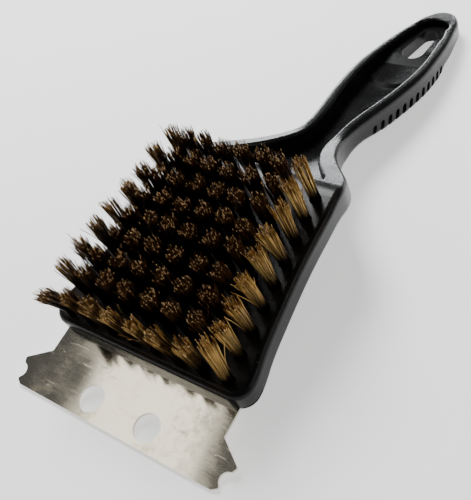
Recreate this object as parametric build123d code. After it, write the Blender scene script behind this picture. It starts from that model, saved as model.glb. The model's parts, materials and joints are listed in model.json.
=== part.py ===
"""Grill cleaning brush: a black moulded body with a channelled handle, nine rows of wire tufts held by
flat anchors, and a stainless scraper plate screwed into a slot along the front edge of the head.

The brush is built in the frame of its head: X across, Y from the head towards the handle, Z out of the
bristle side, with Y = 0 on the front row of tufts and Z = 0 on the bristle face. Every piece is then
turned and lifted together, so that the finished brush lies on its back, bristles up, resting on the
scraper's front edge and on the back of the handle. Its origin is under the middle of its box.
"""
import os
from math import asin, atan2, cos, degrees, hypot, radians, sin, tan

from build123d import *

# Tufts, in millimetres
ROWS = 9
TUFTS_PER_ROW = 8
ROW_PITCH = 8.0
FRONT_ROW_HALF = 31.1            # middle of the head to the outermost tuft, front row
REAR_ROW_HALF = 25.8             # the same, rear row
TUFT_HEIGHT = 18.4
HOLE_RADIUS = 2.0
HOLE_DEPTH = 6.4
TUFT_CLEARANCE = 0.04
TUFT_TIP_RADIUS = 2.9
TUFT_MIDDLE_SHARE = 0.4          # share of a tuft's lean that it has reached halfway up
SIDE_LEAN = 0.8                  # how far the outermost tips lean inwards
LEFT_CORNER_LEAN = (0.0, -3.3)   # how far the front corners' tips are bent besides, in x and y
RIGHT_CORNER_LEAN = (-1.1, 2.0)

# Anchors
ANCHOR_WIDTH = 3.5
ANCHOR_THICKNESS = 0.4
ANCHOR_HEIGHT = 2.0
ANCHOR_GAP = 0.05

# Head
HEAD_THICKNESS = 10.0
HEAD_FRONT_Y = -4.6
HEAD_CORNER_RADIUS = 6.0
TOP_ROUNDING = 2.2
BACK_ROUNDING = 2.6

# Handle: the rim's side view, as (y, z) corners and the radius of the bend there
NECK_TOP = (69.5, 0.0)
NECK_BEND_RADIUS = 11.0
GRIP_TOP = (106.2, -24.0)
GRIP_BEND_RADIUS = 45.0
HANDLE_END = (225.0, -67.9)
NECK_DEPTH = 10.6                # rim to back, square to the rim
GRIP_DEPTH = 12.3
TIP_DEPTH = 9.4
GRIP_START_Y = 116.0
GRIP_END_Y = 175.0
GRIP_SWELL_RUN = 14.0            # how far the back takes to swell out to the grip's depth
HEEL_ROUNDING = 3.0
HEEL_RUN = 5.0                   # how far the back takes to step in behind the grip
HEEL_SINK = 0.6                  # how much less it steps in at first
HEEL_FOOT_RADIUS = 6.0
BACK_BEND_RADIUS = 30.0
HEAD_BEND_RADIUS = 25.0          # bend of the back between the head and the neck

# Channel in the handle, and the pad round the hanging hole
CHANNEL_DEPTH = 7.2              # rim to floor, square to the rim
RIM_ROUNDING = 1.2
PAD_DEPTH = 5.9                  # rim to the pad's lower step
PAD_TOP_DEPTH = 3.6              # rim to the pad's upper step
PAD_TIP_Y = 155.0
PAD_CREASE_Y = 171.2
PAD_RISE_Y = 181.0
PAD_TIP_RADIUS = 11.5
PAD_SPREAD = 1.2                 # how far the pad's round tip spreads for each millimetre down
PAD_OVERLAP = 0.6                # how far the pad's sides run into the walls
PAD_ROOT = 1.0                   # how far the pad runs into the channel's floor
PAD_LEAD = 35.0                  # how far in front of the pad the walls beside it are drawn from
PAD_LEAD_RUN = (0.2, 1.0)        # their direction there
PAD_CREASE_RADIUS = 4.0
PAD_RISE_RADIUS = 22.0
HANG_FRONT = (181.5, 5.0)        # y and radius of the round front end
HANG_REAR = (199.4, 4.0)         # y and radius of the rear end

# Grip grooves
GROOVE_COUNT = 12
GROOVE_FIRST_Y = 123.5
GROOVE_PITCH = 4.8
GROOVE_WIDTH = 2.7
GROOVE_DEPTH = 1.0
GROOVE_TOP = 6.2                 # rim to the groove's upper end, square to the rim

# Scraper plate
PLATE_THICKNESS = 1.0
PLATE_TOP_Z = -7.4
PLATE_HOLE_RADIUS = 4.5
PLATE_HOLE_X = 11.3
PLATE_HOLE_Y = -21.0
PLATE_TANG_Y = 7.4
PLATE_NECK_HALF = 34.7
PLATE_FRONT_Y = -27.6
PLATE_V_NOTCH = (34.7, -13.3)
PLATE_TIP = (42.8, -19.1)
PLATE_NOTCH_START = (41.9, -20.9)
PLATE_NOTCH_DEEP = (39.4, -23.2)
PLATE_NOTCH_END = (41.1, -26.0)
PLATE_CORNER = (38.6, -27.6)
PLATE_CORNER_RADIUS = 0.7
SLOT_GAP = 0.05
SLOT_END_Y = 7.6
SLOT_SIDE_Y = 3.6                # the slot runs out through the head's corners in front of this line

# Screws
SCREW_X = 17.75
SCREW_Y = 4.0
SCREW_HEAD_RADIUS = 2.7
SCREW_HEAD_HEIGHT = 1.6
SCREW_SHANK_RADIUS = 1.4
SCREW_LENGTH = 7.0
SCREW_GAP = 0.04
SCREW_LIP_GAP = 0.25
SCREW_POINT_LENGTH = 1.2
SCREW_POINT_RADIUS = 0.3
SCREW_HEAD_ROUNDING = 0.9
SCREW_HOLE_SPARE = 0.6           # how much deeper the pilot hole is than the screw is long
RECESS_WIDTH = 0.7
RECESS_SPAN = 2.8
RECESS_DEPTH = 1.0

# Points of the body's right-hand wall, front to back, after the front corner
HEAD_SIDE = [(38.3, 1.4), (36.9, 10.5), (35.3, 22.0), (33.9, 36.0), (33.1, 50.0), (32.8, 61.0), (32.3, 68.0)]
SHOULDER = (31.0, 73.6)
SHOULDER_END = (27.2, 79.2)
SHOULDER_RUN = (-0.06, 1.0)      # direction of the wall where the shoulder starts, and where it ends
NECK_RUN = (-0.72, 0.69)
NECK_SIDE = [(21.5, 84.9), (16.5, 90.8), (12.0, 100.2), (10.3, 109.0), (11.3, 121.7), (13.3, 133.5),
             (15.2, 148.0), (15.9, 160.0), (15.0, 175.0), (13.1, 190.5), (10.2, 204.5)]
HANDLE_TIP_Y = 217.8
HANDLE_TIP_RADIUS = 6.9
HANDLE_TIP_TURN = 37.0           # where the round tip starts, in degrees from straight across
# Points of the channel's right-hand wall, front to back
CHANNEL_SIDE = [(24.0, 72.6), (17.9, 78.6), (12.9, 85.0), (9.0, 92.2), (6.5, 100.8), (5.6, 110.0), (6.4, 121.0),
                (8.6, 133.5), (10.7, 149.0), (11.3, 161.0), (10.6, 175.0), (8.8, 190.0), (6.9, 199.5)]
CHANNEL_RUN = (-0.72, 0.69)      # direction of the channel's wall at its front corner, and at its round end
CHANNEL_END_RUN = (-0.28, 0.96)
CHANNEL_END_Y = 208.7
CHANNEL_CORNER_RADIUS = 1.0

# How far an edge's middle may lie from the straight line it belongs to, where the moulding bends
TOP_EDGE_REACH = 3.5
BACK_EDGE_REACH = 4.0
RIM_EDGE_REACH = 2.5
BACK_EDGE_DEPTH = 5.0            # edges nearer the rim than this don't belong to the back

FAR = 400.0                      # comfortably larger than the brush
MARGIN = 10.0                    # how far a cutting shape runs past the faces it opens

UPWARDS = (Align.CENTER, Align.CENTER, Align.MIN)
DOWNWARDS = (Align.CENTER, Align.CENTER, Align.MAX)
BACKWARDS = (Align.CENTER, Align.MIN, Align.MAX)


def slope(start, end):
    """Angle of the line from start to end, in radians."""
    return atan2(end[1] - start[1], end[0] - start[0])


def shifted(start, end, depth):
    """Points start and end moved square to their line, down by depth."""
    angle = slope(start, end)
    step = (depth * sin(angle), -depth * cos(angle))
    return [(p[0] + step[0], p[1] + step[1]) for p in (start, end)]


def height_on(line, y):
    """Height at y of the line through two points."""
    (y0, z0), (y1, z1) = line
    return z0 + (z1 - z0) * (y - y0) / (y1 - y0)


def crossing(line_a, line_b):
    """Point where two lines in the side view cross."""
    (ya, za), (yb, zb) = line_a
    (yc, zc), (yd, zd) = line_b
    rise_a = (zb - za) / (yb - ya)
    rise_b = (zd - zc) / (yd - yc)
    y = (zc - za + rise_a * ya - rise_b * yc) / (rise_a - rise_b)
    return (y, za + rise_a * (y - ya))


def side_solid(corners, radii):
    """Solid across the whole width with the given side view; radii rounds the corner of the same index."""
    face = make_face(Plane.YZ * Polyline(*corners, close=True))
    for index, radius in radii.items():
        y, z = corners[index]
        corner = min(face.vertices(), key=lambda v: hypot(v.Y - y, v.Z - z))
        face = fillet(corner, radius)
    return extrude(Pos(-FAR / 2, 0, 0) * face, amount=FAR, dir=(1, 0, 0))


def plan_face(sides, across):
    """Face whose outline is right-hand sides, their mirror image, and edges that run across."""
    half = Curve() + sides
    return make_face(half + mirror(half, Plane.YZ) + across)


def plan_solid(face, low=-FAR / 2, high=MARGIN):
    """Solid with the given plan, from one height to another."""
    return extrude(Pos(0, 0, low) * face, amount=high - low, dir=(0, 0, 1))


def across_at(point):
    """Straight edge from the point's mirror image to the point."""
    return Line((-point[0], point[1]), point)


def round_across(point, end_y):
    """Arc from the point's mirror image to the point, by way of the middle at end_y."""
    return ThreePointArc((-point[0], point[1]), (0, end_y), point)


def wall_plan():
    """The body's outline seen from the bristle side."""
    corner_x = HEAD_SIDE[0][0]
    front_end = (corner_x - HEAD_CORNER_RADIUS, HEAD_FRONT_Y)
    corner = RadiusArc(front_end, (corner_x, HEAD_FRONT_Y + HEAD_CORNER_RADIUS), -HEAD_CORNER_RADIUS)
    side = Spline(*HEAD_SIDE, tangents=[(0, 1), SHOULDER_RUN])
    shoulder = Spline(HEAD_SIDE[-1], SHOULDER, SHOULDER_END, tangents=[SHOULDER_RUN, NECK_RUN])
    turn = radians(HANDLE_TIP_TURN)
    tip_start = (HANDLE_TIP_RADIUS * cos(turn), HANDLE_TIP_Y - HANDLE_TIP_RADIUS * (1 - sin(turn)))
    neck = Spline(SHOULDER_END, *NECK_SIDE, tip_start, tangents=[NECK_RUN, (-sin(turn), cos(turn))])
    across = [across_at(front_end), round_across(tip_start, HANDLE_TIP_Y)]
    return plan_solid(plan_face([corner, side, shoulder, neck], across))


def channel_plan():
    """The channel's outline seen from the bristle side."""
    side = Spline(*CHANNEL_SIDE, tangents=[CHANNEL_RUN, CHANNEL_END_RUN])
    face = plan_face([side], [across_at(CHANNEL_SIDE[0]), round_across(CHANNEL_SIDE[-1], CHANNEL_END_Y)])
    corners = face.vertices().sort_by(Axis.Y)[:2]
    return plan_solid(fillet(corners, CHANNEL_CORNER_RADIUS))


NECK_LINE = (NECK_TOP, GRIP_TOP)
GRIP_LINE = (GRIP_TOP, HANDLE_END)


def upper_solid(depth):
    """Everything above the line that runs the given depth under the neck's and the handle's rim."""
    neck = shifted(*NECK_LINE, depth)
    grip = shifted(*GRIP_LINE, depth)
    start_y, top = NECK_TOP[0] - MARGIN, FAR
    corners = [(start_y, height_on(neck, start_y)), crossing(neck, grip), (FAR, height_on(grip, FAR)),
               (FAR, top), (start_y, top)]
    return side_solid(corners, {1: GRIP_BEND_RADIUS})


def body_block():
    """The moulding's outer shape, before anything is cut into it."""
    head_back = -HEAD_THICKNESS
    neck_back = shifted(*NECK_LINE, NECK_DEPTH)
    slim_back = shifted(*GRIP_LINE, NECK_DEPTH)
    grip_back = shifted(*GRIP_LINE, GRIP_DEPTH)
    tip_back = shifted(*GRIP_LINE, TIP_DEPTH)
    head_bend = (neck_back[0][0] + (head_back - neck_back[0][1]) / tan(slope(*NECK_LINE)), head_back)
    neck_bend = crossing(neck_back, slim_back)
    grip_start = (GRIP_START_Y, height_on(slim_back, GRIP_START_Y))
    swell_y = GRIP_START_Y + GRIP_SWELL_RUN
    grip_full = (swell_y, height_on(grip_back, swell_y))
    heel = (GRIP_END_Y, height_on(grip_back, GRIP_END_Y))
    step_y = GRIP_END_Y + HEEL_RUN
    step_end = (step_y, height_on(tip_back, step_y) - HEEL_SINK)
    tip = (HANDLE_END[0], height_on(tip_back, HANDLE_END[0]))
    front_y = HEAD_FRONT_Y - MARGIN
    corners = [(front_y, 0), NECK_TOP, GRIP_TOP, HANDLE_END,
               tip, step_end, heel, grip_full, grip_start, neck_bend, head_bend, (front_y, head_back)]
    radii = {1: NECK_BEND_RADIUS, 2: GRIP_BEND_RADIUS, 5: HEEL_FOOT_RADIUS, 6: HEEL_ROUNDING,
             7: BACK_BEND_RADIUS, 8: BACK_BEND_RADIUS, 9: BACK_BEND_RADIUS, 10: HEAD_BEND_RADIUS}
    return wall_plan() & side_solid(corners, radii)


def is_seam(edge):
    """Whether an edge is only the line where two smooth stretches meet, straight across the body."""
    straight = edge.geom_type == GeomType.LINE and abs((edge @ 0).Y - (edge @ 1).Y) < 0.01
    return straight and (edge @ 0).Y > CHANNEL_SIDE[0][1] + 0.1


def edges_near(solid, height_at, tolerance):
    """Edges of the solid whose middle lies near height_at(y), apart from seams."""
    return [edge for edge in solid.edges()
            if not is_seam(edge) and abs((edge @ 0.5).Z - height_at((edge @ 0.5).Y)) < tolerance
            and not (abs((edge @ 0.5).X) < 0.01 and 0 < (edge @ 0.5).Y < CHANNEL_SIDE[0][1])]


def new_edges(before, after):
    """Edges of the solid after a cut that weren't there before it."""
    old = [edge @ 0.5 for edge in before.edges()]
    return [edge for edge in after.edges() if all((edge @ 0.5 - middle).length > 0.01 for middle in old)]


def rim_height(y):
    """Height of the rim's line at y, leaving out the roundings at its bends."""
    if y < NECK_TOP[0]:
        return 0.0
    return height_on(NECK_LINE if y < GRIP_TOP[0] else GRIP_LINE, y)


def back_height(y):
    """Rough height of the body's back at y."""
    if y < NECK_TOP[0] + 2.5:
        return -HEAD_THICKNESS
    depth = NECK_DEPTH if y < GRIP_START_Y else GRIP_DEPTH if y < GRIP_END_Y + 2 else TIP_DEPTH
    return rim_height(y) - depth / cos(slope(*(NECK_LINE if y < GRIP_TOP[0] else GRIP_LINE)))


def pad():
    """The raised pad at the channel's end, round the hanging hole: two steps joined by a slope.

    Its round tip is a cone, square to the rim, so that the step down to the channel's floor is sloped.
    """
    low = shifted(*GRIP_LINE, PAD_DEPTH)
    high = shifted(*GRIP_LINE, PAD_TOP_DEPTH)
    base = shifted(*GRIP_LINE, CHANNEL_DEPTH + PAD_ROOT)
    start_y, end_y = PAD_TIP_Y - MARGIN, HANDLE_END[0]
    corners = [(start_y, height_on(low, start_y)), (PAD_CREASE_Y, height_on(low, PAD_CREASE_Y)),
               (PAD_RISE_Y, height_on(high, PAD_RISE_Y)), (end_y, height_on(high, end_y)),
               (end_y, height_on(base, end_y)), (start_y, height_on(base, start_y))]
    tilt = slope(*GRIP_LINE)
    middle_y = PAD_TIP_Y + PAD_TIP_RADIUS * cos(tilt)
    drop = CHANNEL_DEPTH + PAD_ROOT - PAD_DEPTH
    tip = Cone(PAD_TIP_RADIUS + PAD_SPREAD * drop, PAD_TIP_RADIUS, drop, align=DOWNWARDS)
    tip += Cylinder(PAD_TIP_RADIUS, HEAD_THICKNESS, align=UPWARDS)
    rest = Box(2 * PAD_TIP_RADIUS, FAR, 2 * HEAD_THICKNESS, align=(Align.CENTER, Align.MIN, Align.CENTER))
    place = Pos(0, middle_y, height_on(low, middle_y)) * Rot(degrees(tilt), 0, 0)
    return side_solid(corners, {1: PAD_CREASE_RADIUS, 2: PAD_RISE_RADIUS}) & (place * (tip + rest))


def channel_end(extra):
    """The channel's plan round the pad, with its sides moved out by extra."""
    points = [(x + extra, y) for x, y in CHANNEL_SIDE if y > PAD_TIP_Y - PAD_LEAD]
    side = Spline(*points, tangents=[PAD_LEAD_RUN, CHANNEL_END_RUN])
    end = round_across(points[-1], CHANNEL_END_Y + extra)
    return plan_solid(plan_face([side], [across_at(points[0]), end]))


def hanging_hole():
    """Egg-shaped hole through the handle's end: the outline round two circles."""
    (y0, r0), (y1, r1) = HANG_FRONT, HANG_REAR
    turn = asin((r0 - r1) / (y1 - y0))
    touch = [(r * cos(turn), y + r * sin(turn)) for y, r in (HANG_FRONT, HANG_REAR)]
    ends = [round_across(touch[0], y0 - r0), round_across(touch[1], y1 + r1)]
    return plan_solid(plan_face([Line(*touch)], ends))


def grip_plan(extra):
    """The body's plan along the grip, with its sides moved out by extra."""
    points = [(x + extra, y) for x, y in NECK_SIDE if GRIP_START_Y - 2 * MARGIN < y < GRIP_END_Y + 2 * MARGIN]
    return plan_solid(plan_face([Spline(*points)], [across_at(points[0]), across_at(points[-1])]))


def groove_cutter():
    """Grooves across the back of the grip, running up both sides to a rounded end."""
    back = shifted(*GRIP_LINE, GRIP_DEPTH - GROOVE_DEPTH)
    low_y, high_y = GRIP_START_Y - 2 * MARGIN, GRIP_END_Y + 2 * MARGIN
    corners = [(low_y, MARGIN), (high_y, MARGIN),
               (high_y, height_on(back, high_y)), (low_y, height_on(back, low_y))]
    core = grip_plan(-GROOVE_DEPTH) & side_solid(corners, {})
    top = shifted(*GRIP_LINE, GROOVE_TOP + GROOVE_WIDTH / 2)
    slot = Box(FAR, GROOVE_WIDTH, 2 * MARGIN, align=DOWNWARDS)
    slot += Rot(0, 90, 0) * Cylinder(GROOVE_WIDTH / 2, FAR)
    slots = Part()
    for index in range(GROOVE_COUNT):
        y = GROOVE_FIRST_Y + index * GROOVE_PITCH
        slots += Pos(0, y, height_on(top, y)) * Rot(degrees(slope(*GRIP_LINE)), 0, 0) * slot
    return slots - core


def slot_cutter():
    """Slot for the scraper's tang, open along the front edge and out through the front corners."""
    height = PLATE_THICKNESS + 2 * SLOT_GAP
    z = PLATE_TOP_Z + SLOT_GAP
    front_y = HEAD_FRONT_Y - MARGIN
    tang = Box(2 * (PLATE_NECK_HALF + SLOT_GAP), SLOT_END_Y - front_y, height, align=BACKWARDS)
    corners = Box(FAR, SLOT_SIDE_Y - front_y, height, align=BACKWARDS)
    return Pos(0, front_y, z) * (tang + corners)


def tuft_place(row, place):
    """Middle of a tuft where it leaves its hole, and how far its tip leans in x and y."""
    half = FRONT_ROW_HALF + (REAR_ROW_HALF - FRONT_ROW_HALF) * row / (ROWS - 1)
    side = -1 + 2 * place / (TUFTS_PER_ROW - 1)
    lean_x, lean_y = -SIDE_LEAN * side ** 3, 0.0
    if row == 0 and place in (0, TUFTS_PER_ROW - 1):
        bent_x, bent_y = LEFT_CORNER_LEAN if place == 0 else RIGHT_CORNER_LEAN
        lean_x, lean_y = lean_x + bent_x, lean_y + bent_y
    return (half * side, row * ROW_PITCH), (lean_x, lean_y)


def tuft_holes():
    """Blind holes in the bristle face, one for each tuft."""
    hole = Cylinder(HOLE_RADIUS, HOLE_DEPTH + MARGIN, align=DOWNWARDS)
    places = [tuft_place(row, place)[0] for row in range(ROWS) for place in range(TUFTS_PER_ROW)]
    return [Pos(x, y, MARGIN) * hole for x, y in places]


def screw_places():
    """Where the two screws stand, in the gaps between the tuft holes."""
    return [(-SCREW_X, SCREW_Y), (SCREW_X, SCREW_Y)]


def screw_holes():
    """Pilot holes up into the head, wider through the lip under the slot."""
    pilot = Cylinder(SCREW_SHANK_RADIUS + SCREW_GAP, SCREW_LENGTH + SCREW_HOLE_SPARE, align=UPWARDS)
    wide = Cylinder(SCREW_SHANK_RADIUS + SCREW_LIP_GAP, HEAD_THICKNESS + PLATE_TOP_Z, align=UPWARDS)
    return [Pos(x, y, -HEAD_THICKNESS) * (pilot + wide) for x, y in screw_places()]


def body_moulding():
    """The one-piece head, neck and handle."""
    block = body_block()
    block = fillet(edges_near(block, rim_height, TOP_EDGE_REACH), TOP_ROUNDING)
    back_edges = [edge for edge in edges_near(block, back_height, BACK_EDGE_REACH)
                  if rim_height((edge @ 0.5).Y) - (edge @ 0.5).Z > BACK_EDGE_DEPTH]
    block = fillet(back_edges, BACK_ROUNDING)
    opened = block - (channel_plan() & upper_solid(CHANNEL_DEPTH))
    rim = [edge for edge in new_edges(block, opened)
           if abs((edge @ 0.5).Z - rim_height((edge @ 0.5).Y)) < RIM_EDGE_REACH and not is_seam(edge)]
    block = fillet(rim, RIM_ROUNDING)
    block += pad() & channel_end(PAD_OVERLAP)
    block -= hanging_hole()
    block -= groove_cutter()
    block -= slot_cutter()
    block -= tuft_holes()
    block -= screw_holes()
    return block


def scraper_plate():
    """Flat plate: a tang for the slot, a V-notch at each side and a round notch at each lower corner."""
    tang_end = (PLATE_NECK_HALF, PLATE_TANG_Y)
    side = Polyline(tang_end, PLATE_V_NOTCH, PLATE_TIP, PLATE_NOTCH_START)
    notch = ThreePointArc(PLATE_NOTCH_START, PLATE_NOTCH_DEEP, PLATE_NOTCH_END)
    corner = Line(PLATE_NOTCH_END, PLATE_CORNER)
    outline = plan_face([side, notch, corner], [across_at(tang_end), across_at(PLATE_CORNER)])
    sharp = [min(outline.vertices(), key=lambda v: hypot(v.X - mark[0], v.Y - mark[1]))
             for x, y in (PLATE_TIP, PLATE_NOTCH_START, PLATE_NOTCH_END, PLATE_CORNER)
             for mark in ((x, y), (-x, y))]
    outline = fillet(sharp, PLATE_CORNER_RADIUS)
    plate = plan_solid(outline, PLATE_TOP_Z - PLATE_THICKNESS, PLATE_TOP_Z)
    for side_x in (-PLATE_HOLE_X, PLATE_HOLE_X):
        plate -= Pos(side_x, PLATE_HOLE_Y, PLATE_TOP_Z) * Cylinder(PLATE_HOLE_RADIUS, 4 * PLATE_THICKNESS)
    for x, y in screw_places():
        plate -= Pos(x, y, PLATE_TOP_Z) * Cylinder(SCREW_SHANK_RADIUS + SCREW_LIP_GAP, 4 * PLATE_THICKNESS)
    return plate


def screw():
    """Pan-head self-tapping screw, pointing up, with the underside of its head at the origin."""
    straight = SCREW_LENGTH - SCREW_POINT_LENGTH
    shank = Cylinder(SCREW_SHANK_RADIUS, straight, align=UPWARDS)
    cone = Cone(SCREW_SHANK_RADIUS, SCREW_POINT_RADIUS, SCREW_POINT_LENGTH, align=UPWARDS)
    point = Pos(0, 0, straight) * cone
    pan = Cylinder(SCREW_HEAD_RADIUS, SCREW_HEAD_HEIGHT, align=DOWNWARDS)
    pan = fillet(pan.edges().group_by(Axis.Z)[0], SCREW_HEAD_ROUNDING)
    recess = Pos(0, 0, -SCREW_HEAD_HEIGHT) * (Box(RECESS_SPAN, RECESS_WIDTH, 2 * RECESS_DEPTH)
                                             + Box(RECESS_WIDTH, RECESS_SPAN, 2 * RECESS_DEPTH))
    return shank + point + pan - recess


def anchor():
    """Flat anchor standing on the floor of its hole, which is at the origin."""
    return Box(ANCHOR_WIDTH, ANCHOR_THICKNESS, ANCHOR_HEIGHT, align=UPWARDS)


def tuft(lean):
    """One bundle of wires folded over its anchor: straight in the hole, then slightly flared."""
    lean_x, lean_y = lean
    radius = HOLE_RADIUS - TUFT_CLEARANCE
    root = Pos(0, 0, -HOLE_DEPTH) * Cylinder(radius, HOLE_DEPTH, align=UPWARDS)
    middle_radius = (radius + TUFT_TIP_RADIUS) / 2
    middle_lean = (lean_x * TUFT_MIDDLE_SHARE, lean_y * TUFT_MIDDLE_SHARE)
    middle = Pos(*middle_lean, TUFT_HEIGHT / 2) * Circle(middle_radius)
    tip = Pos(lean_x, lean_y, TUFT_HEIGHT) * Circle(TUFT_TIP_RADIUS)
    bundle = root + loft([Circle(radius), middle, tip])
    room = Box(ANCHOR_WIDTH + 2 * ANCHOR_GAP, ANCHOR_THICKNESS + 2 * ANCHOR_GAP, ANCHOR_HEIGHT + ANCHOR_GAP,
               align=UPWARDS)
    return bundle - Pos(0, 0, -HOLE_DEPTH) * room


def tuft_row(row):
    """The eight tufts of one row, as separate solids."""
    solids = []
    for place in range(TUFTS_PER_ROW):
        (x, y), lean = tuft_place(row, place)
        solids.append(Pos(x, y, 0) * tuft(lean))
    return solids


def anchor_row(row):
    """The eight anchors of one row, as separate solids."""
    return [Pos(*tuft_place(row, place)[0], -HOLE_DEPTH) * anchor() for place in range(TUFTS_PER_ROW)]


def resting_turn():
    """Turn, in radians, that lays the plate's front edge and the back of the handle on one level."""
    front_edge = (PLATE_FRONT_Y, PLATE_TOP_Z - PLATE_THICKNESS)
    turns = []
    for y, depth, rounding in ((GRIP_END_Y - 1.0, GRIP_DEPTH, HEEL_ROUNDING),
                               (HANDLE_TIP_Y - BACK_ROUNDING, TIP_DEPTH, BACK_ROUNDING)):
        middle = (y, height_on(shifted(*GRIP_LINE, depth - rounding), y))
        reach = hypot(middle[0] - front_edge[0], middle[1] - front_edge[1])
        turns.append(asin(rounding / reach) - slope(front_edge, middle))
    return max(turns)


def resting_place(nodes):
    """The turn and lift that lay the brush on its back, and put the origin under the middle of its box."""
    turned = Rot(degrees(resting_turn()), 0, 0)
    box = Compound([turned * solid for solids in nodes.values() for solid in solids]).bounding_box()
    return Pos(-box.center().X, -box.center().Y, -box.min.Z) * turned


def main():
    """Build every node, lay the brush on its back and write one file for each node."""
    nodes = {"body": [body_moulding()], "scraper_plate": [scraper_plate()],
             "scraper_screws": [Pos(x, y, -HEAD_THICKNESS) * screw() for x, y in screw_places()]}
    for row in range(ROWS):
        nodes[f"tuft_row_{row + 1}"] = tuft_row(row)
        nodes[f"anchor_row_{row + 1}"] = anchor_row(row)
    rest = resting_place(nodes)
    print("rest:", rest)
    os.makedirs("parts", exist_ok=True)
    for name, solids in nodes.items():
        placed = [rest * solid for solid in solids]
        export_step(placed[0] if len(placed) == 1 else Compound(children=placed), f"parts/{name}.step")


if __name__ == "__main__":
    main()
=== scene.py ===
"""Looks of a grill cleaning brush: wire tufts, moulded body and handle, scraper plate, screws and anchors.

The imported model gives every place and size. The bristle tufts are rebuilt here wire by wire; all other
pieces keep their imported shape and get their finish. The brush is described in the frame of its head:
x across, y from the scraper towards the handle, z out of the bristle face, with the origin on the face
in the middle of the front row of tufts.
"""

import json
import logging
import math
import random
from dataclasses import dataclass, field
from enum import Enum

import bpy
import numpy as np
from mathutils import Matrix, Vector


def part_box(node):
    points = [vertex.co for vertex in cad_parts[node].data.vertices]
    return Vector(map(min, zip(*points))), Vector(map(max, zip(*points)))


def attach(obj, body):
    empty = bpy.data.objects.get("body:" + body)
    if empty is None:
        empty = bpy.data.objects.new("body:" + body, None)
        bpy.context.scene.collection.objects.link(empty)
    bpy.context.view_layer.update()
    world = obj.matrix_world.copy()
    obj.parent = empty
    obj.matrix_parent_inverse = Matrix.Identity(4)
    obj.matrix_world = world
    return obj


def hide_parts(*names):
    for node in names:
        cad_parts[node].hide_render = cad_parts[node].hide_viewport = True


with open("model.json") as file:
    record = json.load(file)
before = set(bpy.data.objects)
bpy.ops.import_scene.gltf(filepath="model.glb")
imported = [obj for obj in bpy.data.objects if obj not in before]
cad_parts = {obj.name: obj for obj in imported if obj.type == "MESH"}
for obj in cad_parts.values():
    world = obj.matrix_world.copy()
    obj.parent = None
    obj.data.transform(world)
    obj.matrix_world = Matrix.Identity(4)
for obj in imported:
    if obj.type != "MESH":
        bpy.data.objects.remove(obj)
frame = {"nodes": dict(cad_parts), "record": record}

LOG = logging.getLogger("grill_brush")
MM = 0.001
ROOT = "root"
WIRE_MARKS = "wire_marks"
Colour = tuple[float, float, float, float]
Triple = tuple[float, float, float]


def deselect_all() -> None:
    """Leaves nothing selected and nothing active, so that the next operator acts on its own piece only."""
    if bpy.context.object and bpy.context.object.mode != "OBJECT":
        bpy.ops.object.mode_set(mode="OBJECT")
    bpy.ops.object.select_all(action="DESELECT")
    bpy.context.view_layer.objects.active = None


def pick(piece: bpy.types.Object) -> None:
    """Makes one piece the only selected and active one.

    Args:
        piece: The piece that the next operator acts on.
    """
    deselect_all()
    piece.select_set(True)
    bpy.context.view_layer.objects.active = piece


def settle(piece: bpy.types.Object) -> None:
    """Writes a piece's place, turn and scale into its mesh, so that its object sits at the origin."""
    pick(piece)
    bpy.ops.object.transform_apply(location=True, rotation=True, scale=True)


@dataclass(frozen=True)
class HeadFrame:
    """The head's own directions, and its origin on the bristle face at the front row of tufts."""

    origin: Vector
    across: Vector
    along: Vector
    out: Vector

    @classmethod
    def from_record(cls, record: dict, hole_y: float, hole_z: float) -> "HeadFrame":
        """Finds the head from the scraper's two round holes.

        Args:
            record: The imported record, with its mounts.
            hole_y: The holes' place along the head, in metres from the front row of tufts.
            hole_z: The holes' height over the bristle face, in metres.

        Returns:
            The head's frame.
        """
        mounts = {mount["name"]: mount for mount in record["mounts"]}
        left = Vector(mounts["scraper_hole_left"]["pos_m"])
        right = Vector(mounts["scraper_hole_right"]["pos_m"])
        out = Vector(mounts["scraper_hole_left"]["axis"]).normalized()
        across = (right - left).normalized()
        along = out.cross(across).normalized()
        middle = (left + right) / 2
        return cls(middle - along * hole_y - out * hole_z, across, along, out)

    def place(self, x: float, y: float, z: float) -> Vector:
        """Point of the row frame, in metres, for a point of the head's frame in millimetres."""
        return self.origin + (self.across * x + self.along * y + self.out * z) * MM

    def turned(self, x: float, y: float, z: float) -> Vector:
        """Direction in the row frame for a direction in the head's frame."""
        return self.across * x + self.along * y + self.out * z

    def matrix(self) -> Matrix:
        """Transform from the head's frame, in metres, to the row frame."""
        turn = Matrix((self.across, self.along, self.out)).transposed().to_4x4()
        return Matrix.Translation(self.origin) @ turn


HEAD = HeadFrame.from_record(frame["record"], hole_y=-21.0 * MM, hole_z=-7.9 * MM)


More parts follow.
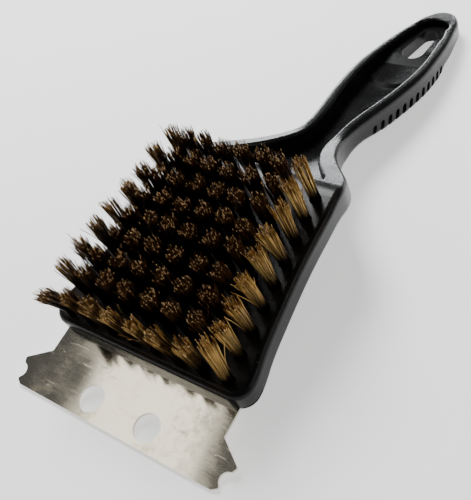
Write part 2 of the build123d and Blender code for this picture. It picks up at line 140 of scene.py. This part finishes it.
class Coat:
    """One material, with short ways to add its shader nodes and join them."""

    def __init__(self, name: str) -> None:
        """Starts a material with a plain Principled shader.

        Args:
            name: The material's name.
        """
        self.material = bpy.data.materials.new(name)
        self.material.use_nodes = True
        self.nodes = self.material.node_tree.nodes
        self.links = self.material.node_tree.links
        self.shader = self.nodes["Principled BSDF"]

    def set(self, socket: str, value: object) -> None:
        """Sets a number or colour that is the same all over on the shader's own socket."""
        self.shader.inputs[socket].default_value = value

    def feed(self, socket: str, source: bpy.types.NodeSocket) -> None:
        """Joins a pattern to one of the shader's sockets."""
        self.links.new(source, self.shader.inputs[socket])

    def put(self, target: bpy.types.NodeSocket, value: object) -> None:
        """Joins or sets a node's input, depending on what the value is.

        Args:
            target: The node's input.
            value: A pattern to join to it, or a plain number or colour to set it to.
        """
        if isinstance(value, bpy.types.NodeSocket):
            self.links.new(value, target)
        else:
            target.default_value = value

    def place(self, scale: Triple = (1.0, 1.0, 1.0), turn: Triple = (0.0, 0.0, 0.0),
              shift: Triple = (0.0, 0.0, 0.0)) -> bpy.types.NodeSocket:
        """Object coordinates, turned, moved and scaled.

        Args:
            scale: Factor on each direction.
            turn: Turn about each direction, in radians.
            shift: Move in metres.

        Returns:
            The mapped coordinates.
        """
        coordinates = self.nodes.new("ShaderNodeTexCoord")
        mapping = self.nodes.new("ShaderNodeMapping")
        mapping.inputs["Scale"].default_value = scale
        mapping.inputs["Rotation"].default_value = turn
        mapping.inputs["Location"].default_value = shift
        self.links.new(coordinates.outputs["Object"], mapping.inputs["Vector"])
        return mapping.outputs["Vector"]

    def noise(self, scale: float, detail: float = 3.0, where: bpy.types.NodeSocket | None = None,
              rough: float = 0.5, distortion: float = 0.0) -> bpy.types.NodeSocket:
        """Cloudy pattern from 0 to 1.

        Args:
            scale: Patches per metre of the coordinates.
            detail: How many finer layers are added.
            where: Coordinates, or None for the plain object coordinates.
            rough: Strength of the finer layers.
            distortion: How much the pattern is stirred.

        Returns:
            The pattern's value.
        """
        node = self.nodes.new("ShaderNodeTexNoise")
        node.inputs["Scale"].default_value = scale
        node.inputs["Detail"].default_value = detail
        node.inputs["Roughness"].default_value = rough
        node.inputs["Distortion"].default_value = distortion
        self.links.new(where or self.place(), node.inputs["Vector"])
        return node.outputs["Fac"]

    def specks(self, scale: float, size: float,
               where: bpy.types.NodeSocket | None = None) -> bpy.types.NodeSocket:
        """Small round spots: 1 inside a spot and 0 outside.

        Args:
            scale: Cells per metre.
            size: A spot's radius, as a share of a cell.
            where: Coordinates, or None for the plain object coordinates.

        Returns:
            The spots' value.
        """
        node = self.nodes.new("ShaderNodeTexVoronoi")
        node.inputs["Scale"].default_value = scale
        self.links.new(where or self.place(), node.inputs["Vector"])
        return self.span(node.outputs["Distance"], size, size * 0.5)

    def span(self, value: bpy.types.NodeSocket, low: float, high: float, start: float = 0.0,
             end: float = 1.0) -> bpy.types.NodeSocket:
        """Value drawn out so that low becomes start and high becomes end, with nothing beyond them.

        Args:
            value: The pattern.
            low: Value that becomes start.
            high: Value that becomes end.
            start: What the result begins at.
            end: What the result ends at.

        Returns:
            The drawn-out value.
        """
        node = self.nodes.new("ShaderNodeMapRange")
        node.clamp = True
        for socket, number in zip(("From Min", "From Max", "To Min", "To Max"), (low, high, start, end)):
            node.inputs[socket].default_value = number
        self.links.new(value, node.inputs["Value"])
        return node.outputs["Result"]

    def sum(self, operation: str, first: object, second: object) -> bpy.types.NodeSocket:
        """Two values joined by a plain sum.

        Args:
            operation: Name of the sum, such as ADD, MULTIPLY or ABSOLUTE, which leaves the second value out.
            first: A pattern or a number.
            second: A pattern or a number.

        Returns:
            The sum's value.
        """
        node = self.nodes.new("ShaderNodeMath")
        node.operation = operation
        self.put(node.inputs[0], first)
        self.put(node.inputs[1], second)
        return node.outputs["Value"]

    def blend(self, share: object, first: object, second: object) -> bpy.types.NodeSocket:
        """Colour between first and second, by share.

        Args:
            share: How much of the second colour there is, from 0 to 1.
            first: A pattern or a colour.
            second: A pattern or a colour.

        Returns:
            The mixed colour.
        """
        node = self.nodes.new("ShaderNodeMix")
        node.data_type = "RGBA"
        colours = [socket for socket in node.inputs if socket.type == "RGBA"]
        self.put(node.inputs["Factor"], share)
        self.put(colours[0], first)
        self.put(colours[1], second)
        return next(socket for socket in node.outputs if socket.type == "RGBA")

    def ramp(self, value: bpy.types.NodeSocket, stops: list[tuple[float, Colour]]) -> bpy.types.NodeSocket:
        """Colour read off a row of stops.

        Args:
            value: What picks the colour.
            stops: Position and colour of each stop, in order.

        Returns:
            The colour.
        """
        node = self.nodes.new("ShaderNodeValToRGB")
        elements = node.color_ramp.elements
        while len(elements) < len(stops):
            elements.new(1.0)
        for element, (position, colour) in zip(elements, stops):
            element.position = position
            element.color = colour
        self.links.new(value, node.inputs["Fac"])
        return node.outputs["Color"]

    def part(self, value: bpy.types.NodeSocket, axis: str) -> bpy.types.NodeSocket:
        """One of a vector's X, Y and Z.

        Args:
            value: The vector.
            axis: Which of the three.

        Returns:
            That one's value.
        """
        node = self.nodes.new("ShaderNodeSeparateXYZ")
        self.links.new(value, node.inputs["Vector"])
        return node.outputs[axis]

    def relief(self, height: bpy.types.NodeSocket, depth: float, strength: float = 1.0,
               below: bpy.types.NodeSocket | None = None) -> bpy.types.NodeSocket:
        """Surface normal bent by a height pattern.

        Args:
            height: The pattern, from 0 to 1.
            depth: How deep the pattern is, in metres.
            strength: Share of the effect.
            below: Normal of a coarser relief under this one.

        Returns:
            The bent normal.
        """
        node = self.nodes.new("ShaderNodeBump")
        node.inputs["Strength"].default_value = strength
        node.inputs["Distance"].default_value = depth
        self.links.new(height, node.inputs["Height"])
        if below is not None:
            self.links.new(below, node.inputs["Normal"])
        return node.outputs["Normal"]

    def head_place(self) -> bpy.types.NodeSocket:
        """Object coordinates turned into the head's frame, in metres."""
        back = HEAD.matrix().inverted()
        return self.place(turn=tuple(back.to_euler()), shift=tuple(back.translation))


@dataclass(frozen=True)
class BlackPolypropylene:
    """Satin black moulding: fine moulded grain, flow marks, scratches, dust, and soot by the tufts.

    The soot's limits are in metres in the head's frame. It fades out between the two rear limits and between
    the two side limits, and it comes in between the two height limits, just under the bristle face.
    """

    colour: Colour = (0.0045, 0.0045, 0.0046, 1.0)
    worn: Colour = (0.009, 0.009, 0.0088, 1.0)
    soot: Colour = (0.012, 0.0075, 0.0045, 1.0)
    dust: Colour = (0.20, 0.19, 0.17, 1.0)
    shine: float = 0.22
    dull: float = 0.33
    reflectance: float = 0.15
    flow_scale: float = 38.0
    patch_scale: float = 110.0
    scratch_scale: float = 420.0
    dust_scale: float = 430.0
    pore_scale: float = 1500.0
    grain_scale: float = 5200.0
    dust_size: float = 0.10
    flow_stretch: Triple = (1.0, 0.35, 1.0)
    scratch_stretch: Triple = (1.0, 0.07, 1.0)
    scratch_turn: Triple = (0.0, 0.0, 0.5)
    dust_share: float = 0.55
    scratch_dulling: float = 0.12
    soot_rear: tuple[float, float] = (0.062, 0.072)
    soot_height: tuple[float, float] = (-0.003, -0.0005)
    soot_side: tuple[float, float] = (0.030, 0.036)
    flow_depth: float = 0.35 * MM
    pore_depth: float = 0.05 * MM
    grain_depth: float = 0.016 * MM

    def make(self) -> bpy.types.Material:
        """Builds the material.

        Returns:
            The finish, ready for a piece.
        """
        coat = Coat("black_polypropylene")
        flow = coat.noise(self.flow_scale, 3.0, coat.place(scale=self.flow_stretch), distortion=0.8)
        patches = coat.noise(self.patch_scale, 4.0)
        grain = coat.noise(self.grain_scale, 2.0)
        pores = coat.noise(self.pore_scale, 3.0)
        scratch_place = coat.place(scale=self.scratch_stretch, turn=self.scratch_turn)
        scratches = coat.span(coat.noise(self.scratch_scale, 4.0, scratch_place, rough=0.65), 0.63, 0.70)
        field_mask = self.tuft_field(coat)
        plain = coat.blend(coat.span(patches, 0.35, 0.75), self.colour, self.worn)
        soot = coat.sum("MULTIPLY", field_mask, coat.span(patches, 0.3, 0.6))
        stained = coat.blend(soot, plain, self.soot)
        specks = coat.specks(self.dust_scale, self.dust_size)
        dust = coat.sum("MULTIPLY", specks, coat.span(flow, 0.45, 0.6))
        coat.feed("Base Color", coat.blend(coat.sum("MULTIPLY", dust, self.dust_share), stained, self.dust))
        unevenness = coat.sum("ADD", coat.sum("MULTIPLY", flow, 0.6), coat.sum("MULTIPLY", patches, 0.4))
        sheen = coat.span(unevenness, 0.35, 0.68, self.shine, self.dull)
        coat.feed("Roughness", coat.sum("ADD", sheen, coat.sum("MULTIPLY", scratches, self.scratch_dulling)))
        coarse = coat.relief(flow, self.flow_depth, 0.35)
        medium = coat.relief(pores, self.pore_depth, 0.5, coarse)
        coat.feed("Normal", coat.relief(grain, self.grain_depth, 0.6, medium))
        coat.set("Specular IOR Level", self.reflectance)
        return coat.material

    def tuft_field(self, coat: Coat) -> bpy.types.NodeSocket:
        """Share of soot: 1 among the tufts on the bristle face, 0 away from them.

        Args:
            coat: The material that gets the pattern.

        Returns:
            The share.
        """
        point = coat.head_place()
        rear = coat.span(coat.part(point, "Y"), *self.soot_rear, 1.0, 0.0)
        height = coat.span(coat.part(point, "Z"), *self.soot_height)
        side = coat.span(coat.sum("ABSOLUTE", coat.part(point, "X"), 0.0), *self.soot_side, 1.0, 0.0)
        return coat.sum("MULTIPLY", coat.sum("MULTIPLY", rear, height), side)


@dataclass(frozen=True)
class BrushedStainless:
    """Sheet steel brushed along its length, with stains, fine scratches and specks."""

    colour: Colour = (0.66, 0.625, 0.53, 1.0)
    stain: Colour = (0.42, 0.38, 0.30, 1.0)
    speck: Colour = (0.07, 0.05, 0.035, 1.0)
    shine: float = 0.07
    dull: float = 0.13
    cloud_scale: float = 85.0
    drop_scale: float = 420.0
    speck_scale: float = 420.0
    speck_size: float = 0.075
    scratch_scale: float = 900.0
    brush_scale: float = 3800.0
    stain_share: float = 0.75
    speck_share: float = 0.85
    stain_dulling: float = 0.08
    brush_stretch: Triple = (0.035, 1.0, 1.0)
    scratch_stretch: Triple = (0.08, 1.0, 1.0)
    scratch_turn: Triple = (0.0, 0.0, 0.75)
    cloud_depth: float = 0.1 * MM
    brush_depth: float = 0.004 * MM
    scratch_depth: float = 0.02 * MM

    def make(self) -> bpy.types.Material:
        """Builds the material.

        Returns:
            The finish, ready for a piece.
        """
        coat = Coat("brushed_stainless")
        point = coat.head_place()
        along = coat.nodes.new("ShaderNodeMapping")
        along.inputs["Scale"].default_value = self.brush_stretch
        coat.links.new(point, along.inputs["Vector"])
        brushing = coat.noise(self.brush_scale, 3.0, along.outputs["Vector"], rough=0.6)
        clouds = coat.noise(self.cloud_scale, 4.0, point, rough=0.6)
        drops = coat.noise(self.drop_scale, 5.0, point, rough=0.62, distortion=0.6)
        stains = coat.sum("MULTIPLY", coat.span(clouds, 0.44, 0.66), coat.span(drops, 0.40, 0.62))
        specks = coat.specks(self.speck_scale, self.speck_size, point)
        spots = coat.sum("MULTIPLY", specks, coat.span(clouds, 0.40, 0.55))
        plain = coat.blend(coat.sum("MULTIPLY", stains, self.stain_share), self.colour, self.stain)
        coat.feed("Base Color", coat.blend(coat.sum("MULTIPLY", spots, self.speck_share), plain, self.speck))
        unevenness = coat.sum("ADD", coat.sum("MULTIPLY", brushing, 0.5), coat.sum("MULTIPLY", clouds, 0.5))
        rough = coat.span(unevenness, 0.36, 0.64, self.shine, self.dull)
        coat.feed("Roughness", coat.sum("ADD", rough, coat.sum("MULTIPLY", stains, self.stain_dulling)))
        scratch_place = coat.place(scale=self.scratch_stretch, turn=self.scratch_turn)
        scratches = coat.span(coat.noise(self.scratch_scale, 3.0, scratch_place, rough=0.7), 0.66, 0.70)
        coarse = coat.relief(clouds, self.cloud_depth, 0.05)
        fine = coat.relief(brushing, self.brush_depth, 0.4, coarse)
        coat.feed("Normal", coat.relief(scratches, self.scratch_depth, 0.4, fine))
        coat.set("Metallic", 1.0)
        return coat.material


@dataclass(frozen=True)
class TuftBrass:
    """Brass bristle wire: every wire has its own tone, darker to its foot with soot and painted shade, with a
    painted glint at its tip.
    """

    bright: Colour = (0.76, 0.52, 0.18, 1.0)
    plain: Colour = (0.48, 0.27, 0.075, 1.0)
    brown: Colour = (0.075, 0.034, 0.012, 1.0)
    # Foot colour: soot, with painted shade among the tufts.
    soot: Colour = (0.012, 0.008, 0.005, 1.0)
    # Painted glint at the tips of the brighter wires.
    glint: Colour = (0.78, 0.52, 0.26, 1.0)
    shine: float = 0.26
    dull: float = 0.46
    smut_scale: float = 900.0
    pit_scale: float = 2600.0
    pit_depth: float = 0.02 * MM

    def make(self) -> bpy.types.Material:
        """Builds the material.

        Returns:
            The finish, ready for a piece.
        """
        coat = Coat("tuft_brass")
        marks = coat.nodes.new("ShaderNodeAttribute")
        marks.attribute_name = WIRE_MARKS
        tone = coat.part(marks.outputs["Vector"], "X")
        height = coat.part(marks.outputs["Vector"], "Y")
        # Third mark: each tuft's soot and painted shade, painted light on the right side and front, painted
        # shade inside.
        soot_and_shade = coat.part(marks.outputs["Vector"], "Z")
        smut = coat.noise(self.smut_scale, 4.0)
        tones = [(0.0, self.brown), (0.4, self.plain), (0.7, self.bright), (1.0, self.brown)]
        clean = coat.ramp(tone, tones)
        # Soot and painted shade darken each tuft's tone towards brown.
        soot_and_shade_share = coat.span(coat.sum("ADD", soot_and_shade, coat.sum("MULTIPLY", smut, 0.3)), 0.25, 0.95)
        soot_and_shade_tone = coat.blend(soot_and_shade_share, clean, self.brown)
        # Darker towards the foot: soot with painted shade among the tufts, higher on the more shaded tufts.
        clear = coat.sum("SUBTRACT", coat.sum("ADD", height, coat.sum("MULTIPLY", smut, 0.25)),
                         coat.sum("MULTIPLY", soot_and_shade, 0.45))
        foot = coat.span(clear, 0.15, 0.55, 1.0, 0.0)
        # Painted glint: the top of the brighter wires turns a pale gold.
        painted_tip_glint = coat.sum("MULTIPLY", coat.span(height, 0.955, 0.985), coat.span(tone, 0.5, 0.75))
        coat.feed("Base Color", coat.blend(painted_tip_glint, coat.blend(foot, soot_and_shade_tone, self.soot), self.glint))
        coat.feed("Roughness", coat.span(smut, 0.3, 0.7, self.shine, self.dull))
        coat.feed("Normal", coat.relief(coat.noise(self.pit_scale, 2.0), self.pit_depth, 0.5))
        coat.set("Metallic", 1.0)
        return coat.material


@dataclass(frozen=True)
class PlatedSteel:
    """Plated small steel parts: greyish bright, with dull tarnished patches and a fine unevenness."""

    name: str
    colour: Colour
    tarnish: Colour
    rough: float
    dulling: float = 0.16
    patch_scale: float = 520.0
    fine_scale: float = 3600.0
    fine_depth: float = 0.02 * MM

    def make(self) -> bpy.types.Material:
        """Builds the material.

        Returns:
            The finish, ready for a piece.
        """
        coat = Coat(self.name)
        patches = coat.noise(self.patch_scale, 4.0, rough=0.6)
        fine = coat.noise(self.fine_scale, 3.0)
        coat.feed("Base Color", coat.blend(coat.span(patches, 0.42, 0.66), self.colour, self.tarnish))
        coat.feed("Roughness", coat.span(patches, 0.3, 0.7, self.rough, self.rough + self.dulling))
        coat.feed("Normal", coat.relief(fine, self.fine_depth, 0.5))
        coat.set("Metallic", 1.0)
        return coat.material


@dataclass(frozen=True)
class PaleFloor:
    """Matt pale floor that gives off some light, like a light table, with a barely visible unevenness."""

    colour: Colour = (0.88, 0.88, 0.875, 1.0)
    shade: Colour = (0.86, 0.86, 0.855, 1.0)
    glow: float = 0.8
    glow_colour: Colour = (1.0, 1.0, 0.995, 1.0)
    rough: float = 0.85
    reflectance: float = 0.1
    patch_scale: float = 3.0

    def make(self) -> bpy.types.Material:
        """Builds the material.

        Returns:
            The finish, ready for a piece.
        """
        coat = Coat("pale_floor")
        coat.feed("Base Color", coat.blend(coat.noise(self.patch_scale, 2.0), self.colour, self.shade))
        coat.set("Roughness", self.rough)
        coat.set("Emission Color", self.glow_colour)
        coat.set("Emission Strength", self.glow)
        coat.set("Specular IOR Level", self.reflectance)
        return coat.material


def dress(node: str, material: bpy.types.Material) -> None:
    """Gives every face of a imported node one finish, and reports it.

    Args:
        node: The node's name.
        material: The finish.
    """
    piece = frame["nodes"][node]
    piece.data.materials.clear()
    piece.data.materials.append(material)
    LOG.info("%s: %s", node, material.name)


@dataclass
class MouldedBody:
    """The one-piece head, neck and handle."""

    node: str = "body"

    def build(self) -> None:
        """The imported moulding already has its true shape."""

    def dress(self) -> None:
        """Gives the moulding its satin black plastic."""
        dress(self.node, BlackPolypropylene().make())


@dataclass
class Scraper:
    """The notched steel plate and the two screws that hold it in the head's slot."""

    plate: str = "scraper_plate"
    screws: str = "scraper_screws"

    def build(self) -> None:
        """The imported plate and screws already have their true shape."""

    def dress(self) -> None:
        """Gives the plate its brushed steel and the screws their plating."""
        dress(self.plate, BrushedStainless().make())
        plating = PlatedSteel("screw_plating", (0.58, 0.58, 0.57, 1.0), (0.34, 0.33, 0.31, 1.0), 0.24)
        dress(self.screws, plating.make())


class Lean(Enum):
    """How a tuft stands, as the lean of its tip in millimetres: sideways and towards the handle."""

    UPRIGHT = (0.0, 0.0)
    FRONT = (0.0, -0.5)
    LEFT_CORNER = (0.3, -3.4)
    RIGHT_CORNER = (-2.3, 3.2)


@dataclass
class TuftRow:
    """One row of tufts, each a bundle of brass wires that stands in its hole.

    Lengths are in millimetres. Shares, powers, and each tuft's soot and painted shade are plain numbers. The
    wave bends a single wire, the drift carries its tip away from its neighbours, and a stray wire drifts
    furthest.
    """

    number: int
    wires: int = 80
    wire_sides: int = 4
    wire_radius: float = 0.145
    foot_depth: float = 3.4
    height: float = 18.4
    mouth_radius: float = 1.72
    tip_radius: float = 2.65
    anchor_half: float = 1.75
    tufts: int = 8
    steps: int = 5
    side_lean: float = 0.8
    lean_scatter: tuple[float, float] = (0.35, 0.4)
    flare_power: float = 1.2
    lean_power: float = 1.25
    wave: float = 0.045
    wave_turn: float = 9.0
    drift: float = 0.34
    stray_drift: float = 1.2
    stray_share: float = 0.10
    short_share: float = 0.12
    short_cut: float = 0.12
    longest: float = 0.03
    shortest: float = -0.055
    point: float = 0.7
    # Each tuft's soot and painted shade: low on the right column and front, painted as lit, high on inner
    # tufts.
    right_soot_and_shade: float = 0.24
    golden_scatter: float = 0.1
    front_soot_and_shade: float = 0.62
    front_soot_and_shade_step: float = 0.06
    front_scatter: float = 0.15
    left_soot_and_shade: float = 0.55
    inner_soot_and_shade: float = 0.78
    soot_and_shade_scatter: float = 0.2
    seed: int = 1000
    rng: random.Random = field(default_factory=random.Random)

    def half_width(self) -> float:
        """Distance from the head's middle to the outermost tuft, in millimetres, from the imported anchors."""
        low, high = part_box(f"anchor_row_{self.number}")
        return (high.x - low.x) / 2 / MM - self.anchor_half

    def row_place(self) -> float:
        """The row's place along the head, in millimetres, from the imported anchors."""
        low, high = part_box(f"anchor_row_{self.number}")
        return ((low + high) / 2 - HEAD.origin).dot(HEAD.along) / MM

    def lean_of(self, place: int) -> Lean:
        """How the tuft at this place stands.

        Args:
            place: The tuft's number in its row, from 0 at the left.

        Returns:
            Its lean.
        """
        if self.number > 1:
            return Lean.UPRIGHT
        corners = {0: Lean.LEFT_CORNER, self.tufts - 1: Lean.RIGHT_CORNER}
        return corners.get(place, Lean.FRONT)

    def soot_and_shade_of(self, place: int) -> float:
        """Soot and painted shade of this tuft: least on the right side and front, painted as lit; most on
        inner tufts.

        Args:
            place: The tuft's number in its row, from 0 at the left.

        Returns:
            The soot and painted shade, from 0 to 1.
        """
        if place == self.tufts - 1:
            return self.right_soot_and_shade + self.golden_scatter * self.rng.random()
        if self.number == 1:
            return self.front_soot_and_shade - self.front_soot_and_shade_step * place + self.front_scatter * self.rng.random()
        return (self.left_soot_and_shade if place == 0 else self.inner_soot_and_shade) + self.soot_and_shade_scatter * self.rng.random()

    def wire_pattern(self) -> bpy.types.Object:
        """One straight wire from foot to tip, with rings to bend it by.

        Returns:
            The wire, standing at the origin, in millimetres.
        """
        deselect_all()
        step = (self.foot_depth + self.height) / self.steps
        bpy.ops.mesh.primitive_cylinder_add(vertices=self.wire_sides, radius=self.wire_radius, depth=step,
                                            location=(0, 0, step / 2 - self.foot_depth))
        wire = bpy.context.object
        settle(wire)
        for _ in range(self.steps - 1):
            self.pick_top(wire)
            bpy.ops.object.mode_set(mode="EDIT")
            bpy.ops.mesh.extrude_region_move(TRANSFORM_OT_translate={"value": (0, 0, step)})
            bpy.ops.object.mode_set(mode="OBJECT")
        self.pick_top(wire)
        bpy.ops.object.mode_set(mode="EDIT")
        bpy.ops.transform.resize(value=(self.point, self.point, 1.0))
        bpy.ops.object.mode_set(mode="OBJECT")
        wire.data.attributes.new(WIRE_MARKS, "FLOAT_VECTOR", "POINT")
        return wire

    def pick_top(self, wire: bpy.types.Object) -> None:
        """Selects the wire's top face.

        Args:
            wire: The wire, which becomes the active piece.
        """
        pick(wire)
        bpy.ops.object.mode_set(mode="EDIT")
        bpy.ops.mesh.select_mode(type="FACE")
        bpy.ops.mesh.select_all(action="DESELECT")
        bpy.ops.object.mode_set(mode="OBJECT")
        top = max(wire.data.polygons, key=lambda face: face.center.z)
        top.select = True

    def bent(self, base: np.ndarray, middle: tuple[float, float], lean: tuple[float, float],
             flare: tuple[float, float], reach: float) -> np.ndarray:
        """Bends one wire's points.

        Args:
            base: The straight wire's points, in millimetres.
            middle: The tuft's place on the head.
            lean: How far the whole tuft's tip leans.
            flare: The wire's place in the bundle, as shares of its radius.
            reach: Length of the wire, as a share of the full length.

        Returns:
            The points in the head's frame, in millimetres.
        """
        height = np.where(base[:, 2] > 0, base[:, 2] * reach, base[:, 2])
        share = np.clip(height / self.height, 0.0, None)
        spread = self.mouth_radius + (self.tip_radius - self.mouth_radius) * share ** self.flare_power
        wave, phase = self.rng.gauss(0, self.wave), self.rng.uniform(0, math.tau)
        stray = self.drift if self.rng.random() > self.stray_share else self.stray_drift
        drift = (self.rng.gauss(0, stray), self.rng.gauss(0, stray))
        points = base.copy()
        for axis in (0, 1):
            points[:, axis] += middle[axis] + flare[axis] * spread + lean[axis] * share ** self.lean_power
            bend = wave * np.sin(share * self.wave_turn + phase + axis)
            points[:, axis] += drift[axis] * share ** 2 + bend
        # A wire keeps about its length, so the tip of one that leans is a little lower.
        tilt = 1.0 - 0.5 * (lean[0] ** 2 + lean[1] ** 2) / self.height ** 2
        points[:, 2] = np.where(height > 0, height * tilt, height)
        return points

    def wire_copy(self, pattern: bpy.types.Object, base: np.ndarray, middle: tuple[float, float],
                  lean: tuple[float, float], soot_and_shade: float) -> bpy.types.Object:
        """Copies the wire into a tuft, with its own mesh, bend, length and tone.

        Args:
            pattern: The straight wire.
            base: Its points, in millimetres.
            middle: The tuft's place on the head.
            lean: How far the whole tuft's tip leans.
            soot_and_shade: How much soot and painted shade the tuft has, from 0 to 1.

        Returns:
            The copy, in the head's frame, in millimetres.
        """
        angle, radius = self.rng.uniform(0, math.tau), math.sqrt(self.rng.random())
        flare = (radius * math.cos(angle), radius * math.sin(angle))
        reach = 1.0 + self.rng.uniform(self.shortest, self.longest)
        if self.rng.random() < self.short_share:
            reach -= self.short_cut * self.rng.random()
        points = self.bent(base, middle, lean, flare, reach)
        wire = pattern.copy()
        wire.data = pattern.data.copy()
        wire.data.vertices.foreach_set("co", points.ravel())
        marks = np.empty_like(points)
        marks[:, 0] = self.rng.random()
        marks[:, 1] = np.clip(base[:, 2] / self.height, 0.0, 1.0)
        marks[:, 2] = soot_and_shade
        wire.data.attributes[WIRE_MARKS].data.foreach_set("vector", marks.ravel())
        bpy.context.scene.collection.objects.link(wire)
        return wire

    def build(self) -> bpy.types.Object:
        """Builds the row's wires and joins them into one piece.

        Returns:
            The row, in the row frame, in metres.
        """
        self.rng.seed(self.seed + self.number)
        pattern = self.wire_pattern()
        base = np.empty(len(pattern.data.vertices) * 3)
        pattern.data.vertices.foreach_get("co", base)
        base = base.reshape(-1, 3)
        half, along = self.half_width(), self.row_place()
        copies = []
        for place in range(self.tufts):
            side = -1 + 2 * place / (self.tufts - 1)
            lean_x, lean_y = self.lean_of(place).value
            lean = (lean_x - self.side_lean * side ** 3 + self.rng.gauss(0, self.lean_scatter[0]),
                    lean_y + self.rng.gauss(0, self.lean_scatter[1]))
            soot_and_shade = self.soot_and_shade_of(place)
            for _ in range(self.wires):
                copies.append(self.wire_copy(pattern, base, (half * side, along), lean, soot_and_shade))
        bpy.data.objects.remove(pattern)
        deselect_all()
        for wire in copies:
            wire.select_set(True)
        bpy.context.view_layer.objects.active = copies[0]
        bpy.ops.object.join()
        row = bpy.context.object
        row.name = f"wire_row_{self.number}"
        row.matrix_world = HEAD.matrix() @ Matrix.Scale(MM, 4)
        settle(row)
        bpy.ops.object.shade_smooth()
        return row


@dataclass
class TuftField:
    """All nine rows of tufts, and the flat anchors that hold them down in their holes."""

    rows: int = 9
    pieces: list[bpy.types.Object] = field(default_factory=list)

    def build(self) -> None:
        """Builds each row in place of its packed stand-in."""
        for number in range(1, self.rows + 1):
            row = TuftRow(number).build()
            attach(row, ROOT)
            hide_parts(f"tuft_row_{number}")
            self.pieces.append(row)
            LOG.info("row %d: %d faces", number, len(row.data.polygons))

    def dress(self) -> None:
        """Gives the wires their brass and the anchors their steel."""
        brass = TuftBrass().make()
        steel = PlatedSteel("anchor_strip", (0.46, 0.45, 0.43, 1.0), (0.24, 0.21, 0.17, 1.0), 0.34).make()
        for row in self.pieces:
            row.data.materials.clear()
            row.data.materials.append(brass)
        for number in range(1, self.rows + 1):
            dress(f"anchor_row_{number}", steel)


@dataclass(frozen=True)
class Softbox:
    """One soft studio light.

    The place and the point that it faces are in metres in the row frame, and the glow is its radiance.
    The edge is the direction that its width runs along; all zeros mean level.
    """

    name: str
    place: Triple
    facing: Triple
    width: float
    height: float
    glow: float
    colour: Triple = (1.0, 1.0, 1.0)
    edge: Triple = (0.0, 0.0, 0.0)

    def turn(self) -> Matrix:
        """Turn that faces the light to its target, with its width along its edge direction.

        Returns:
            The turn, with the light's width, height and back as its columns.
        """
        back = (Vector(self.place) - Vector(self.facing)).normalized()
        width = Vector(self.edge) if any(self.edge) else Vector((0.0, 0.0, 1.0)).cross(back)
        width = (width - back * width.dot(back)).normalized()
        return Matrix((width, back.cross(width), back)).transposed()

    def build(self) -> None:
        """Adds the light."""
        lamp = bpy.data.lights.new(self.name, "AREA")
        lamp.shape = "RECTANGLE"
        lamp.size, lamp.size_y = self.width, self.height
        lamp.energy = self.glow * math.pi * self.width * self.height
        lamp.color = self.colour
        light = bpy.data.objects.new(self.name, lamp)
        light.location = self.place
        light.rotation_euler = self.turn().to_euler()
        light.visible_camera = False
        bpy.context.scene.collection.objects.link(light)


@dataclass
class Studio:
    """Pale floor, soft lights and the camera.

    The floor is in metres in the row frame, and the camera's places are in millimetres in the head's frame.
    """

    floor_half: float = 1.6
    floor_cuts: int = 3
    camera_place: Triple = (128.64, -40.68, 184.48)
    camera_target: Triple = (10.23, 38.63, 0.0)
    camera_right: Triple = (0.81407, 0.48994, -0.31186)
    lens: float = 53.59
    lights: tuple[Softbox, ...] = (
        Softbox("back_strip", (-0.36, 0.72, 0.07), (0.0, 0.0, 0.02), 0.55, 0.11, 17.0, (0.95, 0.98, 1.0)),
        Softbox("back_top", (-0.45, 0.33, 0.72), (0.0, -0.03, 0.03), 0.40, 0.44, 24.0, (0.97, 0.99, 1.0)),
        Softbox("plate_top", (-0.518, -0.250, 0.850), (0.0, -0.118, 0.004), 0.60, 0.205, 2.7,
                (1.0, 0.965, 0.86), edge=(0.08, -0.98, -0.11)),
        Softbox("right_fill", (0.75, 0.10, 0.50), (0.0, -0.05, 0.02), 0.50, 0.50, 1.6, (1.0, 0.97, 0.92)),
    )
    sky: float = 0.10
    sky_colour: Colour = (0.97, 0.98, 1.0, 1.0)

    def build(self) -> None:
        """Adds the floor, the lights, the even light all round, and the camera."""
        deselect_all()
        bpy.ops.mesh.primitive_plane_add(size=2 * self.floor_half)
        floor = bpy.context.object
        floor.name = "floor"
        bpy.ops.object.mode_set(mode="EDIT")
        bpy.ops.mesh.subdivide(number_cuts=self.floor_cuts)
        bpy.ops.object.mode_set(mode="OBJECT")
        floor.data.materials.append(PaleFloor().make())
        for light in self.lights:
            light.build()
        world = bpy.data.worlds.new("studio_air")
        world.use_nodes = True
        world.node_tree.nodes["Background"].inputs["Color"].default_value = self.sky_colour
        world.node_tree.nodes["Background"].inputs["Strength"].default_value = self.sky
        bpy.context.scene.world = world
        self.add_camera()

    def add_camera(self) -> None:
        """Places the camera, with the picture level in the given direction."""
        place, target = HEAD.place(*self.camera_place), HEAD.place(*self.camera_target)
        view = (target - place).normalized()
        up = HEAD.turned(*self.camera_right).cross(view).normalized()
        right = view.cross(up)
        data = bpy.data.cameras.new("camera")
        data.lens = self.lens
        data.clip_start, data.clip_end = 0.01, 20.0
        camera = bpy.data.objects.new("camera", data)
        camera.matrix_world = Matrix.Translation(place) @ Matrix((right, up, -view)).transposed().to_4x4()
        bpy.context.scene.collection.objects.link(camera)
        bpy.context.scene.camera = camera


def main() -> None:
    """Builds and dresses each sub-assembly in order, then sets up the studio."""
    logging.basicConfig(level=logging.INFO, format="%(name)s: %(message)s")
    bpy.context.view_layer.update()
    for assembly in (MouldedBody(), Scraper(), TuftField()):
        assembly.build()
        assembly.dress()
        LOG.info("%s is ready", type(assembly).__name__)
    Studio().build()


if __name__ == "__main__":
    main()
